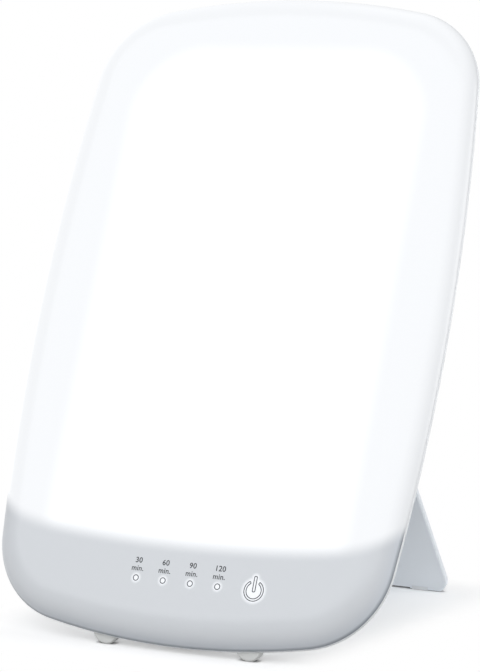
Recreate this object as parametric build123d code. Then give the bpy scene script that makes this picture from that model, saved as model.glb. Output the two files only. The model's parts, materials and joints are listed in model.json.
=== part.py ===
from build123d import *
import os
from math import acos, atan2, cos, degrees, hypot, radians, sin, tan

# Light therapy lamp: an edge-lit panel with a soft-edged opal front, two front feet and a fold-out stand.
#
# The panel is drawn lying on its back: X to the viewer's right, Y up the panel from the lowest point of its
# outline, Z towards the viewer from the parting plane between the front cover and the rear housing.
# PANEL then stands it up and leans it back.

# ---- driving dimensions, mm and degrees ----
PANEL_WIDTH = 280.0
PANEL_HEIGHT = 423.0
SIDE_BOW = 15.0           # how far each long side bows out
END_BOW = 22.0            # how far the top and the bottom bow out
CORNER_RADIUS = 56.0
PANEL_LEAN = 25.4         # from the vertical
FLOOR_GAP = 4.0           # from the table up to the lowest point of the outline
STAND_LINE = 212.0        # foot edge of the open stand, behind the lowest point of the outline

COVER_HEIGHT = 12.5       # front cover, parting plane to its face
COVER_DRAFT = 30.0        # slope of its edge
COVER_EDGE_RADIUS = 20.0
COVER_WALL = 2.4
COVER_INNER_CHAMFER = 7.0 # inside of its edge
LIP_INSET = 1.5           # lip of the cover inside the rim of the housing
LIP_WALL = 1.1
LIP_DEPTH = 1.6
LIP_ROOT = 0.6            # lip inside the wall of the cover
LIP_GAP = 0.1

REAR_DEPTH = 22.0         # rear housing, parting plane to its back face
RIM_BAND = 2.2            # straight band at the parting plane
REAR_DRAFT = 24.0
REAR_EDGE_RADIUS = 8.0
REAR_WALL = 2.2
REAR_INNER_CHAMFER = 3.0  # inside corner between the wall and the back
RIB_UP = [296.0, 330.0, 364.0]
RIB_HALF = 96.0
RIB_THICKNESS = 1.6
RIB_HEIGHT = 7.0

HINGE_UP = 264.0          # hinge line of the stand, up the panel
HINGE_DEPTH = 17.4        # and behind the parting plane
BARREL_RADIUS = 4.5
BARREL_HALF = 47.4
TURN_GAP = 0.8            # room round the turning barrel
END_PLAY = 0.6            # room at each end of the barrel, and round each lug
STAND_THICKNESS = 4.5
STAND_HINGE_HALF = 48.0   # half width of the stand at its hinge
STAND_FOOT_HALF = 96.0    # and at its foot, before the corners are rounded
STAND_CORNER = 10.0
STAND_EDGE = 0.8          # chamfer of its outer edges
RECESS_GAP = 1.0          # room beside the folded stand
FOLD_GAP = 0.6            # and in front of it
RECESS_WALL = 2.0
PIN_RADIUS = 2.0
PIN_PLAY = 0.05
PIN_INNER = 25.5          # inner end of each pin, from the centre line
PIN_OUTER = 59.0
PIN_END_ROOM = 0.5
EAR_NOTCH = 7.0           # the plate is cut back by this beside its barrel, clear of the ears
LUG_X = 30.0
LUG_WIDTH = 10.0
LUG_THICKNESS = 3.0
LUG_ROOT = 2.5
LUG_REACH = 8.2
LUG_PLAY = 0.3            # left between a lug and its stop
PAD_X = 75.0
PAD_WIDTH = 11.0
PAD_HEIGHT = 2.4
PAD_PROUD = 0.3
SOLE_LIFT = 0.25          # corners of the stand, above the table
ARCH_HALF = 68.0          # raised middle of its foot edge
ARCH_LIFT = 1.1

FOOT_X = 48.0
FOOT_RADIUS = 8.7
FOOT_FLAT_CUT = 0.35      # cut off its round, where it meets the table
FOOT_BEVEL = 0.9
FOOT_FRONT = 3.2          # front face, behind the lowest point of the outline
FOOT_THICKNESS = 6.0
STEM_BACK = 4.0           # stem behind the front face
STEM_RADIUS = 1.8
STEM_HEAD_RADIUS = 3.6
STEM_HEAD_LOW = 8.8
STEM_HEAD_HIGH = 10.4

STACK_HALF = 103.0        # light guide, from the centre line to its lit edges
STACK_BOTTOM = 62.0
STACK_TOP = 388.0
STACK_CORNER = 6.0
BAR_OVERRUN = 1.0         # bar beyond each end of the stack
BAR_FRONT = 3.4           # front edge of the bars and of the flanges behind them
GUIDE_BACK = -1.4
GUIDE_THICKNESS = 4.0
REFLECTOR_THICKNESS = 0.4
DIFFUSER_THICKNESS = 1.2
CHIP_GAP = 0.1
CHIP_DEEP = 1.0
CHIP_LONG = 3.5
CHIP_HIGH = 2.8
CHIP_PITCH = 11.0
CHIPS_PER_BAR = 29
BAR_THICKNESS = 1.2
PLATE_THICKNESS = 1.6
PLATE_BOTTOM = 54.0
PLATE_TOP = 394.5
PLATE_CORNER = 10.0
FRAME_WALL = 1.4
FRAME_LIP = 3.0           # lip of the frame over the edge of the diffuser

BOARD_THICKNESS = 1.6
BOARD_CORNER = 2.0
CONTROL_BOARD = (-42.0, 68.0, 20.0, 52.5)    # x from and to, up from and to
CONTROL_BOARD_BACK = 0.4
DRIVER_BOARD = (-94.0, -46.0, 20.0, 50.0)
DRIVER_BOARD_BACK = -9.6
BOARD_INSET = 4.5         # screws in from two opposite corners of a board
POST_RADIUS = 3.2
BOARD_SCREW_RADIUS = 1.25
CONTROL_SCREW = 7.0       # length of the control board's screws
DRIVER_SCREW = 5.0
PLATE_SCREW = 8.0
PLATE_SCREW_RADIUS = 1.45
PLATE_SCREW_X = 80.0
PLATE_SCREW_INSET = 3.6
SMALL_HEAD_RADIUS = 2.4   # screws of the plate and the boards
SMALL_HEAD_HEIGHT = 1.4

LEGEND_UP = 37.6          # timer rings, up the panel
RING_PITCH = 18.2
RING_X = [-1.5 * RING_PITCH, -0.5 * RING_PITCH, 0.5 * RING_PITCH, 1.5 * RING_PITCH]
TUNNEL_RADIUS = 2.4
KEY_X = 50.0
KEY_UP = 38.3
KEY_TUNNEL_RADIUS = 8.5
SHROUD = (-33.0, 60.5, 28.5, 48.5)
SHROUD_TOP = 7.3
SHROUD_CORNER = 3.0
ELECTRODE_RADIUS = 5.0
INDICATOR = (2.0, 1.2, 0.8)                  # length, width and height of an indicator LED
KEY_LED_SPACING = 6.8     # LEDs above and below the key's middle
TOUCH_CHIP = (20.0, 26.0, 34.0, 39.0)
TOUCH_CHIP_HEIGHT = 1.4
DRIVER_CHIP = (-66.0, -60.0, 26.0, 31.0)
DRIVER_CHIP_HEIGHT = 1.5
CAPACITORS = [(-78.0, 43.0), (-69.0, 43.0)]
CAPACITOR_RADIUS = 3.15
CAPACITOR_HEIGHT = 6.5
INDUCTOR = (-81.0, 29.0)
INDUCTOR_HALF = 5.0
INDUCTOR_HEIGHT = 4.0
INDUCTOR_CORE_RADIUS = 3.4
INDUCTOR_CORE_HEIGHT = 0.6

JACK_X = -101.0
JACK_UP = 54.0
JACK_RECESS_RADIUS = 5.5
JACK_RECESS_DEPTH = 6.0
JACK_COLLAR_RADIUS = 7.5
JACK_FLANGE_THICKNESS = 1.5
JACK_SOCKET_RADIUS = 3.2
JACK_SOCKET_DEPTH = 9.0
JACK_PIN_RADIUS = 1.0
JACK_BODY_HALF = (4.75, 5.5)
JACK_BODY_DEPTH = 11.0
TWIN_LEAD = (2.8, 1.3)    # width and thickness of a two-core flat lead
LEAD_BEND = 3.0
RIBBON = (12.0, 0.5)
RIBBON_BEND = 1.2
RIBBON_UP = 38.0
RIBBON_FROM = -53.0
RIBBON_TO = -37.0
RIBBON_DROP = 2.2         # level run of the ribbon behind the control board

SCREW_PLACES = [(114.0, 85.0), (114.0, 211.5), (114.0, 338.0)]
SCREW_RADIUS = 1.5
SCREW_HEAD_RADIUS = 2.8
SCREW_HEAD_HEIGHT = 2.0
SCREW_TIP = 5.0
WELL_RADIUS = 4.0
WELL_WALL = 1.3
WELL_FLOOR = 5.0          # bottom of each well, behind the parting plane
BOSS_MEET = 1.0           # where the two bosses meet, behind the parting plane
COVER_BOSS_RADIUS = 3.6

# ---- worked out ----
MID_UP = PANEL_HEIGHT / 2
SIDE_ARC = (MID_UP**2 + SIDE_BOW**2) / (2 * SIDE_BOW)
END_ARC = ((PANEL_WIDTH / 2) ** 2 + END_BOW**2) / (2 * END_BOW)
SIDE_CENTRE = PANEL_WIDTH / 2 - SIDE_ARC
END_CENTRE = MID_UP - END_ARC

HINGE_Y = HINGE_UP * sin(radians(PANEL_LEAN)) + HINGE_DEPTH * cos(radians(PANEL_LEAN))
HINGE_Z = FLOOR_GAP + HINGE_UP * cos(radians(PANEL_LEAN)) - HINGE_DEPTH * sin(radians(PANEL_LEAN))
STAND_ANGLE = degrees(atan2(STAND_LINE - HINGE_Y, HINGE_Z))
STAND_LENGTH = hypot(STAND_LINE - HINGE_Y, HINGE_Z)
FOLD_ANGLE = PANEL_LEAN + STAND_ANGLE
STAND_SLOPE = (STAND_FOOT_HALF - STAND_HINGE_HALF) / STAND_LENGTH
RECESS_FLOOR = HINGE_DEPTH - FOLD_GAP
HINGE = (HINGE_UP, -HINGE_DEPTH)

GUIDE_FRONT = GUIDE_BACK + GUIDE_THICKNESS
PLATE_FRONT = GUIDE_BACK - REFLECTOR_THICKNESS
PLATE_BACK = PLATE_FRONT - PLATE_THICKNESS
DIFFUSER_FRONT = GUIDE_FRONT + DIFFUSER_THICKNESS
BAR_FACE = STACK_HALF + CHIP_GAP + CHIP_DEEP
BAR_REAR = BAR_FACE + BAR_THICKNESS
PLATE_HALF = BAR_REAR + PLATE_THICKNESS
FRAME_HALF = PLATE_HALF + FRAME_WALL
CONTROL_FRONT = CONTROL_BOARD_BACK + BOARD_THICKNESS
DRIVER_FRONT = DRIVER_BOARD_BACK + BOARD_THICKNESS

PANEL_AT_TABLE = Pos(0, 0, FLOOR_GAP) * Rot(90 - PANEL_LEAN, 0, 0)
FOLDED_TO_OPEN = Pos(0, HINGE_UP, -HINGE_DEPTH) * Rot(FOLD_ANGLE, 0, 0) * Pos(0, -HINGE_UP, HINGE_DEPTH)

pieces = {}


def block(x0, x1, y0, y1, z0, z1):
    """A box from its lowest corner to its highest."""
    return Pos((x0 + x1) / 2, (y0 + y1) / 2, (z0 + z1) / 2) * Box(x1 - x0, y1 - y0, z1 - z0)


def rounded_block(x0, x1, y0, y1, z0, z1, radius):
    """A slab with round corners in plan."""
    return fillet(block(x0, x1, y0, y1, z0, z1).edges().filter_by(Axis.Z), radius)


def post(place, z0, z1, radius):
    """A round post along Z at an (x, y) place."""
    return Pos(place[0], place[1], (z0 + z1) / 2) * Cylinder(radius, z1 - z0)


def rod(x0, x1, y, z, radius):
    """A round rod along X."""
    return Pos((x0 + x1) / 2, y, z) * Rot(0, 90, 0) * Cylinder(radius, x1 - x0)


def both_sides(places):
    """Each (x, y) place and its twin across the centre line."""
    return [(side * x, y) for x, y in places for side in (-1, 1) if x or side > 0]


def board_screw_places(board):
    """The screws of a board: lower left and upper right, or on the driver board the other two corners."""
    x0, x1, y0, y1 = board
    low, high = y0 + BOARD_INSET, y1 - BOARD_INSET
    if board == DRIVER_BOARD:
        low, high = high, low
    return [(x0 + BOARD_INSET, low), (x1 - BOARD_INSET, high)]


HOUSING_SCREWS = both_sides(SCREW_PLACES)
PLATE_SCREWS = both_sides([(PLATE_SCREW_X, PLATE_BOTTOM + PLATE_SCREW_INSET),
                           (PLATE_SCREW_X, PLATE_TOP - PLATE_SCREW_INSET)])
# places, top face, radius and depth of the bores for small screws
POSTS = [
    (PLATE_SCREWS, PLATE_BACK, PLATE_SCREW_RADIUS, PLATE_SCREW),
    (board_screw_places(CONTROL_BOARD), CONTROL_BOARD_BACK, BOARD_SCREW_RADIUS, CONTROL_SCREW),
    (board_screw_places(DRIVER_BOARD), DRIVER_BOARD_BACK, BOARD_SCREW_RADIUS, DRIVER_SCREW),
]


# ---- the outline of the panel ----
def outline(inset=0.0, z=0.0):
    """The face inside the outline: two side arcs and two end arcs, joined by round corners."""
    reach_side = SIDE_ARC - CORNER_RADIUS
    reach_end = END_ARC - CORNER_RADIUS
    span = hypot(SIDE_CENTRE, END_CENTRE)
    opening = acos((reach_side**2 + span**2 - reach_end**2) / (2 * reach_side * span))
    side_turn = opening + atan2(END_CENTRE, -SIDE_CENTRE)
    corner_x = SIDE_CENTRE + reach_side * cos(side_turn)
    corner_y = reach_side * sin(side_turn)
    end_turn = atan2(corner_y - END_CENTRE, corner_x)
    radius = CORNER_RADIUS - inset

    def on_corner(turn):
        return (corner_x + radius * cos(turn), corner_y + radius * sin(turn))

    def at(point, flip_x, flip_y):
        return (flip_x * point[0], MID_UP + flip_y * point[1], z)

    side_end = on_corner(side_turn)
    corner_middle = on_corner((side_turn + end_turn) / 2)
    end_end = on_corner(end_turn)
    side_middle = (PANEL_WIDTH / 2 - inset, 0)
    end_middle = (0, MID_UP - inset)
    arcs = []
    for flip in (1, -1):
        arcs.append(ThreePointArc(at(side_end, flip, -1), at(side_middle, flip, 1), at(side_end, flip, 1)))
        arcs.append(ThreePointArc(at(end_end, -1, flip), at(end_middle, 1, flip), at(end_end, 1, flip)))
        for flip_y in (1, -1):
            corner = [at(point, flip, flip_y) for point in (side_end, corner_middle, end_end)]
            arcs.append(ThreePointArc(*corner))
    return make_face(arcs)


# ---- front cover ----
def cover_form(wall):
    """The cover without its edge, and the edges round its face. A wall thickness gives its hollow."""
    height = COVER_HEIGHT - wall
    form = extrude(outline(wall / cos(radians(COVER_DRAFT))), height, taper=COVER_DRAFT)
    return form, form.edges().filter_by(lambda e: e.bounding_box().min.Z > height - 0.1)


def front_cover():
    """Opal moulding: flat face, broad round edge, a lip into the housing and a boss for each screw."""
    outside, outer_edge = cover_form(0.0)
    hollow, inner_edge = cover_form(COVER_WALL)
    cover = fillet(outer_edge, COVER_EDGE_RADIUS) - chamfer(inner_edge, COVER_INNER_CHAMFER)
    lip = extrude(outline(LIP_INSET, -LIP_DEPTH), LIP_DEPTH + LIP_ROOT)
    cover += lip - extrude(outline(LIP_INSET + LIP_WALL, -LIP_DEPTH), LIP_DEPTH + LIP_ROOT)
    for place in HOUSING_SCREWS:
        cover += post(place, -BOSS_MEET, COVER_HEIGHT - COVER_WALL / 2, COVER_BOSS_RADIUS)
        cover -= post(place, -BOSS_MEET - 1, SCREW_TIP + 1, SCREW_RADIUS)
    return cover


# ---- rear housing ----
def tray_form():
    """The outside of the housing: a straight rim band and a drafted, round-edged dish."""
    band = extrude(outline(), RIM_BAND)
    dish = extrude(outline(0.0, RIM_BAND), REAR_DEPTH - RIM_BAND, taper=REAR_DRAFT)
    tray = band + dish
    edge = tray.edges().filter_by(lambda e: e.bounding_box().min.Z > REAR_DEPTH - 0.1)
    return mirror(fillet(edge, REAR_EDGE_RADIUS), about=Plane.XY)


def tray_hollow():
    """The room inside the housing."""
    inset = REAR_WALL / cos(radians(REAR_DRAFT)) - RIM_BAND * tan(radians(REAR_DRAFT))
    depth = REAR_DEPTH - REAR_WALL
    dish = extrude(outline(inset), depth, taper=REAR_DRAFT)
    edge = dish.edges().filter_by(lambda e: e.bounding_box().min.Z > depth - 0.1)
    hollow = chamfer(edge, REAR_INNER_CHAMFER)
    seat = extrude(outline(LIP_INSET - LIP_GAP), LIP_DEPTH + LIP_GAP)
    return mirror(hollow + seat, about=Plane.XY)


def recess_form(grow, floor, back):
    """The room of the folded stand, widened by grow, from its floor back past the housing."""
    top = HINGE_UP + BARREL_RADIUS + TURN_GAP + grow
    bottom = -10.0

    def half(up):
        return STAND_HINGE_HALF + RECESS_GAP + grow + STAND_SLOPE * (HINGE_UP - up)

    corners = [(half(top), top), (half(bottom), bottom), (-half(bottom), bottom), (-half(top), top)]
    face = make_face(Polyline(*corners, close=True))
    face = fillet(face.vertices().group_by(Axis.Y)[-1], 2.0 + grow)
    return Pos(0, 0, -back) * extrude(face, back - floor)


def lug_room(side, wall):
    """The pocket that a stop lug turns in, or with a wall thickness the block around it."""
    reach = LUG_WIDTH / 2 + END_PLAY + wall
    return block(side * LUG_X - reach, side * LUG_X + reach, HINGE_UP - LUG_THICKNESS / 2 - LUG_PLAY - wall,
                 HINGE_UP + LUG_REACH + wall, -HINGE_DEPTH - 1, LUG_REACH + END_PLAY + wall - HINGE_DEPTH)


def housing_inside():
    """What stands inside the tray: recess walls, ears, stop blocks, wells, posts, collar and ribs."""
    trough = BARREL_HALF + END_PLAY
    added = recess_form(RECESS_WALL, RECESS_FLOOR - RECESS_WALL, REAR_DEPTH + 1)
    added += rod(-trough, trough, *HINGE, BARREL_RADIUS + TURN_GAP + RECESS_WALL)
    for side in (-1, 1):
        added += rod(*sorted((side * trough, side * PIN_OUTER)), *HINGE, BARREL_RADIUS)
        added += lug_room(side, RECESS_WALL)
    for place in HOUSING_SCREWS:
        added += post(place, -REAR_DEPTH, -BOSS_MEET, WELL_RADIUS + WELL_WALL)
    for places, top, radius, depth in POSTS:
        for place in places:
            added += post(place, -REAR_DEPTH, top, POST_RADIUS)
    added += post((JACK_X, JACK_UP), -REAR_DEPTH, JACK_RECESS_DEPTH - REAR_DEPTH, JACK_COLLAR_RADIUS)
    for up in RIB_UP:
        added += block(-RIB_HALF, RIB_HALF, up - RIB_THICKNESS / 2, up + RIB_THICKNESS / 2,
                       -REAR_DEPTH + 1, -REAR_DEPTH + 1 + RIB_HEIGHT)
    return added


def rear_housing():
    """Rear moulding: stand recess with hinge ears and stops, screw wells, inlet recess, ribs and posts."""
    outside = tray_form()
    within = outside + block(-PANEL_WIDTH / 2, PANEL_WIDTH / 2, 10, PANEL_HEIGHT, -1, CONTROL_BOARD_BACK)
    housing = outside - tray_hollow()
    housing += housing_inside() & within
    trough = BARREL_HALF + END_PLAY
    housing -= recess_form(0.0, RECESS_FLOOR, REAR_DEPTH + 1)
    housing -= rod(-trough, trough, *HINGE, BARREL_RADIUS + TURN_GAP)
    housing -= rod(-PIN_OUTER - 1, PIN_OUTER + 1, *HINGE, PIN_RADIUS)
    for side in (-1, 1):
        housing -= lug_room(side, 0.0)
        housing -= PANEL_AT_TABLE.inverse() * foot_stem(side * FOOT_X)
    for place in HOUSING_SCREWS:
        housing -= post(place, -REAR_DEPTH - 1, -WELL_FLOOR, WELL_RADIUS)
        housing -= post(place, -REAR_DEPTH, 0, SCREW_RADIUS)
    for places, top, radius, depth in POSTS:
        for place in places:
            housing -= post(place, top - depth, top + 1, radius)
    recess_top = -REAR_DEPTH + JACK_RECESS_DEPTH + 1
    return housing - post((JACK_X, JACK_UP), -REAR_DEPTH - 1, recess_top, JACK_RECESS_RADIUS)


# ---- front feet, drawn at the table ----
def foot_stem(x):
    """The round stem that holds a foot in the housing wall."""
    return post((x, FOOT_FRONT + STEM_BACK), 3.0, STEM_HEAD_LOW, STEM_RADIUS)


def foot(x):
    """A half-round tab under the edge of the housing, with a stem and a head inside."""
    disc = chamfer(Cylinder(FOOT_RADIUS, FOOT_THICKNESS).edges().filter_by(GeomType.CIRCLE), FOOT_BEVEL)
    middle = FOOT_FRONT + FOOT_THICKNESS / 2
    body = Pos(x, middle, FOOT_RADIUS - FOOT_FLAT_CUT) * Rot(90, 0, 0) * disc
    body -= block(x - FOOT_RADIUS, x + FOOT_RADIUS, 0, 2 * middle, -2 * FOOT_FLAT_CUT, 0)
    body -= PANEL_AT_TABLE * tray_form()
    body = body.solids().sort_by(Axis.Z)[0]
    body += foot_stem(x)
    return body + post((x, FOOT_FRONT + STEM_BACK), STEM_HEAD_LOW, STEM_HEAD_HIGH, STEM_HEAD_RADIUS)


# ---- fold-out stand, drawn folded into its recess ----
def stand_to_table(shape):
    """Opens the folded stand and stands it on the table with the panel."""
    return PANEL_AT_TABLE * (FOLDED_TO_OPEN * shape)


def pad_room(side, proud):
    """The notch for a pad in the foot edge of the stand."""
    low = HINGE_UP - STAND_LENGTH
    return block(side * PAD_X - PAD_WIDTH / 2, side * PAD_X + PAD_WIDTH / 2, low - 5, low + PAD_HEIGHT,
                 -HINGE_DEPTH - STAND_THICKNESS - proud, -HINGE_DEPTH + proud)


def below_table(lift, half):
    """Everything lower than lift above the table."""
    return block(-half, half, 0, 400, lift - 30, lift)


def stand():
    """Tapered plate with a hinge barrel, two stop lugs, pad notches and an arched foot edge."""
    low = HINGE_UP - STAND_LENGTH - STAND_THICKNESS * tan(radians(STAND_ANGLE))
    foot_half = STAND_HINGE_HALF + STAND_SLOPE * (HINGE_UP - low)
    corners = [(STAND_HINGE_HALF, HINGE_UP), (foot_half, low), (-foot_half, low),
               (-STAND_HINGE_HALF, HINGE_UP)]
    face = make_face(Polyline(*corners, close=True))
    face = fillet(face.vertices().group_by(Axis.Y)[0], STAND_CORNER)
    plate = Pos(0, 0, -HINGE_DEPTH - STAND_THICKNESS) * extrude(face, STAND_THICKNESS)
    rims = plate.edges().filter_by(lambda e: e.bounding_box().max.Y < HINGE_UP - 1 or e.length > 200)
    rims = rims.filter_by(lambda e: e.bounding_box().size.Z < 0.01)
    plate = chamfer(rims, STAND_EDGE)
    plate += rod(-BARREL_HALF, BARREL_HALF, *HINGE, BARREL_RADIUS)
    for side in (-1, 1):
        lug = block(side * LUG_X - LUG_WIDTH / 2, side * LUG_X + LUG_WIDTH / 2, HINGE_UP - LUG_THICKNESS / 2,
                    HINGE_UP + LUG_THICKNESS / 2, LUG_ROOT - HINGE_DEPTH, LUG_REACH - HINGE_DEPTH)
        plate += FOLDED_TO_OPEN.inverse() * lug
        plate -= block(*sorted((side * BARREL_HALF, side * (BARREL_HALF + EAR_NOTCH))), HINGE_UP - EAR_NOTCH,
                       HINGE_UP + 1, -REAR_DEPTH - 1, 0)
        bore = sorted((side * (PIN_INNER - PIN_END_ROOM), side * (BARREL_HALF + 1)))
        plate -= rod(*bore, *HINGE, PIN_RADIUS + PIN_PLAY)
        plate -= pad_room(side, 1.0)
    plate = stand_to_table(plate)
    plate -= below_table(SOLE_LIFT, 120)
    return plate - below_table(ARCH_LIFT, ARCH_HALF)


def stand_pad(side):
    """Rubber pad that fills a notch and meets the table."""
    pad = pad_room(side, PAD_PROUD)
    return stand_to_table(pad) - below_table(0.0, 120)


# ---- light stack ----
def stack_sheet(z0, z1):
    """A sheet of the light stack."""
    return rounded_block(-STACK_HALF, STACK_HALF, STACK_BOTTOM, STACK_TOP, z0, z1, STACK_CORNER)


def led_bar(side):
    """The board of one LED bar, on edge against the flange of the plate."""
    x0, x1 = sorted((side * BAR_FACE, side * BAR_REAR))
    return block(x0, x1, STACK_BOTTOM - BAR_OVERRUN, STACK_TOP + BAR_OVERRUN, PLATE_FRONT, BAR_FRONT)


def bar_leds(side):
    """The row of LED packages that shines into one edge of the guide."""
    x0, x1 = sorted((side * (STACK_HALF + CHIP_GAP), side * BAR_FACE))
    middle_up = (STACK_BOTTOM + STACK_TOP) / 2
    middle_z = (GUIDE_BACK + GUIDE_FRONT) / 2
    row = []
    for number in range(CHIPS_PER_BAR):
        up = middle_up + (number - (CHIPS_PER_BAR - 1) / 2) * CHIP_PITCH
        row.append(block(x0, x1, up - CHIP_LONG / 2, up + CHIP_LONG / 2,
                         middle_z - CHIP_HIGH / 2, middle_z + CHIP_HIGH / 2))
    return row


def back_plate():
    """Aluminium tray that carries the stack and spreads the heat of the bars."""
    plate = rounded_block(-PLATE_HALF, PLATE_HALF, PLATE_BOTTOM, PLATE_TOP, PLATE_BACK, PLATE_FRONT,
                          PLATE_CORNER)
    for side in (-1, 1):
        x0, x1 = sorted((side * BAR_REAR, side * PLATE_HALF))
        plate += block(x0, x1, PLATE_BOTTOM + PLATE_CORNER, PLATE_TOP - PLATE_CORNER, PLATE_FRONT, BAR_FRONT)
    for place in PLATE_SCREWS:
        plate -= post(place, PLATE_BACK - 1, PLATE_FRONT + 1, PLATE_SCREW_RADIUS)
    return plate


def mid_frame():
    """White frame that grips the edge of the stack and clips over the plate."""
    bottom = PLATE_BOTTOM - FRAME_WALL
    top = PLATE_TOP + FRAME_WALL
    corner = PLATE_CORNER + FRAME_WALL
    frame = rounded_block(-FRAME_HALF, FRAME_HALF, bottom, top, PLATE_BACK, DIFFUSER_FRONT + FRAME_WALL,
                          corner)
    frame -= rounded_block(-PLATE_HALF, PLATE_HALF, PLATE_BOTTOM, PLATE_TOP, PLATE_BACK - 1, DIFFUSER_FRONT,
                           PLATE_CORNER)
    for side in (-1, 1):
        x0, x1 = sorted((side * (BAR_FACE - 4), side * FRAME_HALF))
        frame -= block(x0, x1, bottom - 1, PLATE_BOTTOM + 6, PLATE_BACK - 1, GUIDE_FRONT)
    window = STACK_HALF - FRAME_LIP
    return frame - rounded_block(-window, window, STACK_BOTTOM + FRAME_LIP, STACK_TOP - FRAME_LIP,
                                 DIFFUSER_FRONT - 1, DIFFUSER_FRONT + 5, STACK_CORNER)


# ---- boards ----
def board(edges, back):
    """A printed circuit board with a hole for each screw."""
    body = rounded_block(*edges, back, back + BOARD_THICKNESS, BOARD_CORNER)
    for place in board_screw_places(edges):
        body -= post(place, back - 1, back + BOARD_THICKNESS + 1, BOARD_SCREW_RADIUS)
    return body


def indicator_leds():
    """One LED behind each timer ring and two beside the key's electrode."""
    length, width, height = INDICATOR
    places = [(x, LEGEND_UP) for x in RING_X]
    places += [(KEY_X, KEY_UP - KEY_LED_SPACING), (KEY_X, KEY_UP + KEY_LED_SPACING)]
    return [block(x - length / 2, x + length / 2, y - width / 2, y + width / 2, CONTROL_FRONT,
                  CONTROL_FRONT + height) for x, y in places]


def indicator_shroud():
    """Block of light tunnels between the board and the cover."""
    shroud = rounded_block(*SHROUD, CONTROL_FRONT, SHROUD_TOP, SHROUD_CORNER)
    for x in RING_X:
        shroud -= post((x, LEGEND_UP), CONTROL_FRONT - 1, SHROUD_TOP + 1, TUNNEL_RADIUS)
    return shroud - post((KEY_X, KEY_UP), CONTROL_FRONT - 1, SHROUD_TOP + 1, KEY_TUNNEL_RADIUS)


def touch_electrode():
    """Conductive foam between the board and the cover, behind the touch key."""
    return post((KEY_X, KEY_UP), CONTROL_FRONT, SHROUD_TOP, ELECTRODE_RADIUS)


def driver_capacitors():
    """Round capacitors that stand on the driver board."""
    top = DRIVER_FRONT + CAPACITOR_HEIGHT
    return [post(place, DRIVER_FRONT, top, CAPACITOR_RADIUS) for place in CAPACITORS]


def driver_inductor():
    """Shielded square inductor with a round core that stands out of its top."""
    x, y = INDUCTOR
    top = DRIVER_FRONT + INDUCTOR_HEIGHT
    body = block(x - INDUCTOR_HALF, x + INDUCTOR_HALF, y - INDUCTOR_HALF, y + INDUCTOR_HALF,
                 DRIVER_FRONT, top)
    return body + post(INDUCTOR, DRIVER_FRONT, top + INDUCTOR_CORE_HEIGHT, INDUCTOR_CORE_RADIUS)


def dc_jack():
    """Low-voltage inlet behind its recess: flange, body, socket and centre pin."""
    face = -REAR_DEPTH + JACK_RECESS_DEPTH
    flange = face + JACK_FLANGE_THICKNESS
    place = (JACK_X, JACK_UP)
    half_x, half_y = JACK_BODY_HALF
    jack = post(place, face, flange, JACK_COLLAR_RADIUS - 0.3)
    jack += block(JACK_X - half_x, JACK_X + half_x, JACK_UP - half_y, JACK_UP + half_y, flange,
                  face + JACK_BODY_DEPTH)
    jack -= post(place, face - 1, face + JACK_SOCKET_DEPTH, JACK_SOCKET_RADIUS)
    return jack + post(place, face + 0.5, face + JACK_SOCKET_DEPTH + 0.5, JACK_PIN_RADIUS)


def twin_lead(points):
    """A two-core flat lead along a run of points with round bends."""
    path = FilletPolyline(*points, radius=LEAD_BEND)
    heading = path % 0
    across = heading.cross(Vector(0, 0, 1))
    section = Plane(origin=path @ 0, x_dir=across, z_dir=heading) * Rectangle(*TWIN_LEAD)
    return sweep(section, path=path)


def jack_lead():
    """The lead from the side of the inlet to the driver board."""
    height = DRIVER_FRONT + TWIN_LEAD[1] / 2
    start = (JACK_X + JACK_BODY_HALF[0], 52.5, height)
    return twin_lead([start, (-84.0, 52.5, height), (-84.0, 44.0, height)])


def bar_leads():
    """The leads from the driver board to the lower end of each bar."""
    height = DRIVER_FRONT + TWIN_LEAD[1] / 2
    end_x = BAR_FACE - CHIP_GAP - TWIN_LEAD[0] / 2
    end_up = STACK_BOTTOM - BAR_OVERRUN
    left = [(-82.0, 21.6, height), (-97.0, 21.6, height), (-end_x, 33.0, height), (-end_x, 40.0, height),
            (-end_x, 50.0, 0.5), (-end_x, end_up, 0.5)]
    right = [(-50.5, 38.0, height), (-38.0, 15.8, height), (88.0, 16.6, height), (end_x, 33.0, height),
             (end_x, 40.0, height), (end_x, 50.0, 0.5), (end_x, end_up, 0.5)]
    return [twin_lead(left), twin_lead(right)]


def ribbon_cable():
    """Flat cable from the driver board up to the back of the control board."""
    level = CONTROL_BOARD_BACK - RIBBON_DROP
    run = [(RIBBON_FROM, RIBBON_UP, DRIVER_FRONT), (RIBBON_FROM, RIBBON_UP, level),
           (RIBBON_TO, RIBBON_UP, level), (RIBBON_TO, RIBBON_UP, CONTROL_BOARD_BACK)]
    path = FilletPolyline(*run, radius=RIBBON_BEND)
    width, thickness = RIBBON
    section = Plane(origin=path @ 0, x_dir=(1, 0, 0), z_dir=path % 0) * Rectangle(thickness, width)
    return sweep(section, path=path)


# ---- fasteners ----
def screw(place, head_face, head_up, radius, head_radius, head_height, length):
    """A screw along Z. head_up is 1 for a head towards the viewer, else -1."""
    head = post(place, *sorted((head_face, head_face + head_up * head_height)), head_radius)
    return head + post(place, *sorted((head_face, head_face - head_up * length)), radius)


def housing_screws():
    """Screws from the wells into the cover."""
    return [screw(place, -WELL_FLOOR, -1, SCREW_RADIUS, SCREW_HEAD_RADIUS, SCREW_HEAD_HEIGHT,
                  WELL_FLOOR + SCREW_TIP) for place in HOUSING_SCREWS]


def plate_screws():
    """Screws that hold the plate to its posts."""
    return [screw(place, PLATE_FRONT, 1, PLATE_SCREW_RADIUS, SMALL_HEAD_RADIUS, SMALL_HEAD_HEIGHT,
                  PLATE_SCREW) for place in PLATE_SCREWS]


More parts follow.
